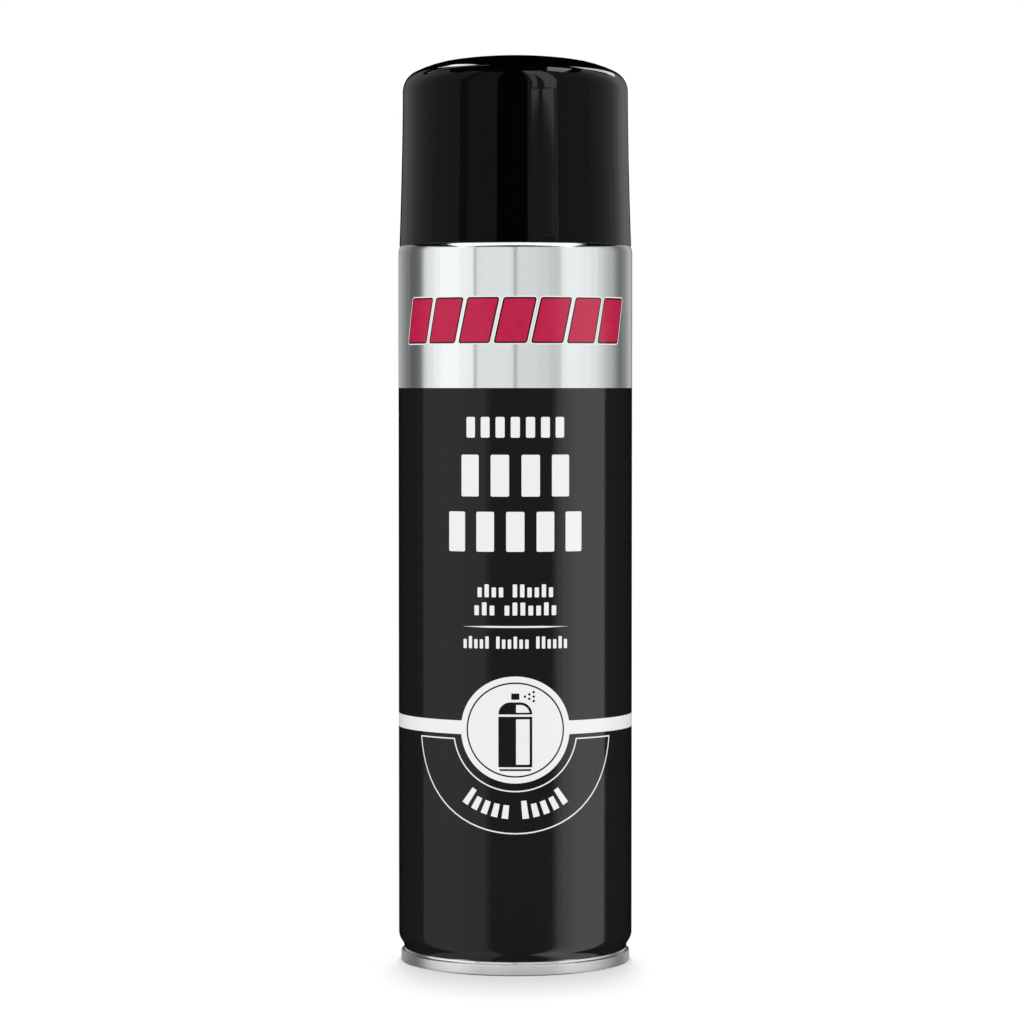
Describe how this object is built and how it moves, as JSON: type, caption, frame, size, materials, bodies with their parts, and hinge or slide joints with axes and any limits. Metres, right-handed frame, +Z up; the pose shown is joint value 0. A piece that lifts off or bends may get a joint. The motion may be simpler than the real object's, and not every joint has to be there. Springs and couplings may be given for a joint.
{
  "type": "aerosol spray can",
  "caption": "Tall round tinplate spray paint can with a domed black overcap, silver upper band, black printed body and a push-button valve inside.",
  "frame": {"origin": "centre of the rim that the can stands on", "axes": "+Z up the can's axis, -Y towards the front of the print, which is also where the button sprays"},
  "size_m": [0.065, 0.065, 0.2512],
  "materials": {
    "printed_tinplate": "lithographed tinplate: semi-gloss black ink below, clear-lacquered bright tin above",
    "tinplate": "bright electrolytic tinplate",
    "seam_compound": "dried water-based lining compound",
    "gasket_rubber": "matt moulded or die-cut rubber",
    "natural_resin": "natural off-white acetal",
    "tube_polymer": "translucent extruded polyethylene",
    "white_resin": "satin white moulding",
    "black_resin": "satin black acetal",
    "spring_steel": "bright stainless wire",
    "ball_steel": "polished bearing steel",
    "overcap_plastic": "high-gloss black polypropylene"
  },
  "bodies": {
    "can": {"can_body": "printed_tinplate", "base_dome": "tinplate", "top_cone": "tinplate", "base_seam_compound": "seam_compound", "top_seam_compound": "seam_compound", "mounting_cup": "tinplate", "cup_gasket": "gasket_rubber", "stem_gasket": "gasket_rubber", "valve_housing": "natural_resin", "valve_spring": "spring_steel", "dip_tube": "tube_polymer"},
    "valve_stem": {"valve_stem": "white_resin"},
    "actuator": {"actuator_button": "white_resin", "spray_insert": "black_resin"},
    "overcap": {"overcap": "overcap_plastic"},
    "mixing_ball_1": {"mixing_ball_1": "ball_steel"},
    "mixing_ball_2": {"mixing_ball_2": "ball_steel"}
  },
  "joints": [
    {"name": "overcap_lift", "type": "slide", "parent": "can", "child": "overcap", "axis": [0, 0, 1], "range_m": [0, 0.06]},
    {"name": "valve_press", "type": "slide", "parent": "can", "child": "valve_stem", "axis": [0, 0, -1], "range_m": [0, 0.0014], "stiffness_N_per_m": 1500, "springref_m": -0.004, "deforming": ["valve_spring"]},
    {"name": "actuator_turn", "type": "hinge", "parent": "valve_stem", "child": "actuator", "pos_m": [0, 0, 0.2211], "axis": [0, 0, 1], "continuous": true},
    {"name": "mixing_ball_1_rattle", "type": "slide", "parent": "can", "child": "mixing_ball_1", "axis": [0, 0, 1], "range_m": [0, 0.18]},
    {"name": "mixing_ball_2_rattle", "type": "slide", "parent": "can", "child": "mixing_ball_2", "axis": [0, 0, 1], "range_m": [0, 0.18]}
  ]
}
